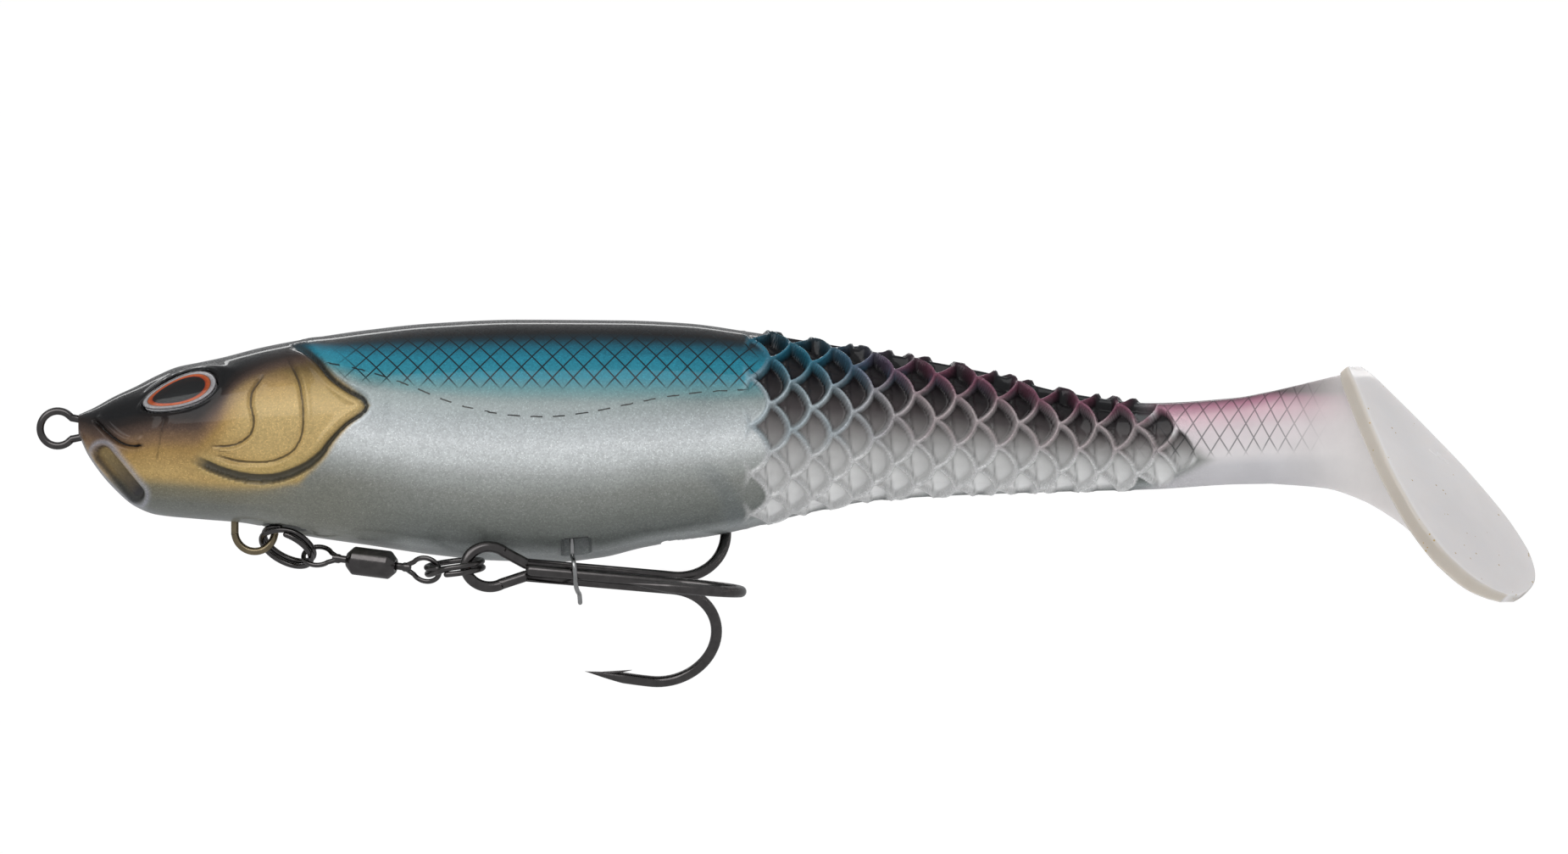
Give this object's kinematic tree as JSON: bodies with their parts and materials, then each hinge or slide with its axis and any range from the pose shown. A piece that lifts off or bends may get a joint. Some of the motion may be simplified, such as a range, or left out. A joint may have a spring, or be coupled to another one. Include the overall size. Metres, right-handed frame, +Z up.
{
  "type": "swimbait",
  "caption": "Soft paddle-tail swimbait with a moulded fish body, ribbed flexing tail, wire line tie and a treble hook on a rolling-swivel chain under the belly.",
  "frame": {"origin": "centre of the line-tie loop on the nose", "axes": "+X from the nose to the tail, +Z up, the left flank faces -Y"},
  "size_m": [0.2063, 0.0461, 0.0509],
  "materials": {
    "soft_pvc": "soft glossy clear-coated moulding",
    "tail_pvc": "soft glossy translucent moulding",
    "paddle_pvc": "soft milky translucent moulding",
    "stainless_wire": "dark polished wire",
    "brass_wire": "dull gilt wire",
    "black_nickel": "black nickel plate",
    "cast_weight": "dull casting",
    "eye_foil": "printed foil",
    "eye_lens": "clear domed resin"
  },
  "bodies": {
    "forebody": {"forebody": "soft_pvc", "harness_wire": "stainless_wire", "hanger_wire": "brass_wire", "keel_weight": "cast_weight", "eye_foil_left": "eye_foil", "eye_foil_right": "eye_foil", "eye_lens_left": "eye_lens", "eye_lens_right": "eye_lens"},
    "honeycomb_front": {"honeycomb_front": "tail_pvc"},
    "honeycomb_rear": {"honeycomb_rear": "tail_pvc"},
    "peduncle": {"peduncle": "tail_pvc"},
    "paddle_tail": {"paddle_tail": "paddle_pvc"},
    "split_ring_front": {"split_ring_front": "black_nickel"},
    "swivel_front_eye": {"swivel_front_eye": "black_nickel"},
    "swivel_barrel": {"swivel_barrel": "black_nickel"},
    "swivel_rear_eye": {"swivel_rear_eye": "black_nickel"},
    "split_ring_rear": {"split_ring_rear": "black_nickel"},
    "treble": {"treble_double_hook": "black_nickel", "treble_single_hook": "black_nickel", "hook_keeper_pin": "stainless_wire"}
  },
  "joints": [
    {"name": "tail_bend_front", "type": "hinge", "parent": "forebody", "child": "honeycomb_front", "pos_m": [0.1065, 0, 0], "axis": [0, 0, 1], "range_deg": [-15, 15], "stiffness_Nm_per_rad": 0.03},
    {"name": "tail_bend_middle", "type": "hinge", "parent": "honeycomb_front", "child": "honeycomb_rear", "pos_m": [0.122, 0, 0], "axis": [0, 0, 1], "range_deg": [-15, 15], "stiffness_Nm_per_rad": 0.018},
    {"name": "tail_bend_rear", "type": "hinge", "parent": "honeycomb_rear", "child": "peduncle", "pos_m": [0.143, 0, 0], "axis": [0, 0, 1], "range_deg": [-12, 38], "stiffness_Nm_per_rad": 0.008},
    {"name": "paddle_kick", "type": "hinge", "parent": "peduncle", "child": "paddle_tail", "pos_m": [0.16736, -0.00562, 0], "axis": [0, 0, 1], "range_deg": [-11, 49], "stiffness_Nm_per_rad": 0.004},
    {"name": "front_ring_swing", "type": "hinge", "parent": "forebody", "child": "split_ring_front", "pos_m": [0.0272, 0, -0.0142], "axis": [0, 1, 0], "range_deg": [0, 85]},
    {"name": "swivel_swing", "type": "hinge", "parent": "split_ring_front", "child": "swivel_front_eye", "pos_m": [0.0352, -0.0014, -0.0175], "axis": [0, 1, 0], "range_deg": [0, 30]},
    {"name": "barrel_spin", "type": "hinge", "parent": "swivel_front_eye", "child": "swivel_barrel", "pos_m": [0.0434, -0.00345, -0.0185], "axis": [0.9588, -0.2579, -0.119], "continuous": true},
    {"name": "rear_eye_spin", "type": "hinge", "parent": "swivel_front_eye", "child": "swivel_rear_eye", "pos_m": [0.0434, -0.00345, -0.0185], "axis": [0.9588, -0.2579, -0.119], "range_deg": [-3, 1.5]},
    {"name": "rear_ring_swing", "type": "hinge", "parent": "swivel_rear_eye", "child": "split_ring_rear", "pos_m": [0.0512, -0.0055, -0.0194], "axis": [0, 1, 0], "range_deg": [0, 25]},
    {"name": "treble_swing", "type": "hinge", "parent": "split_ring_rear", "child": "treble", "pos_m": [0.058, -0.008, -0.0188], "axis": [0, 1, 0], "range_deg": [0, 20]}
  ]
}
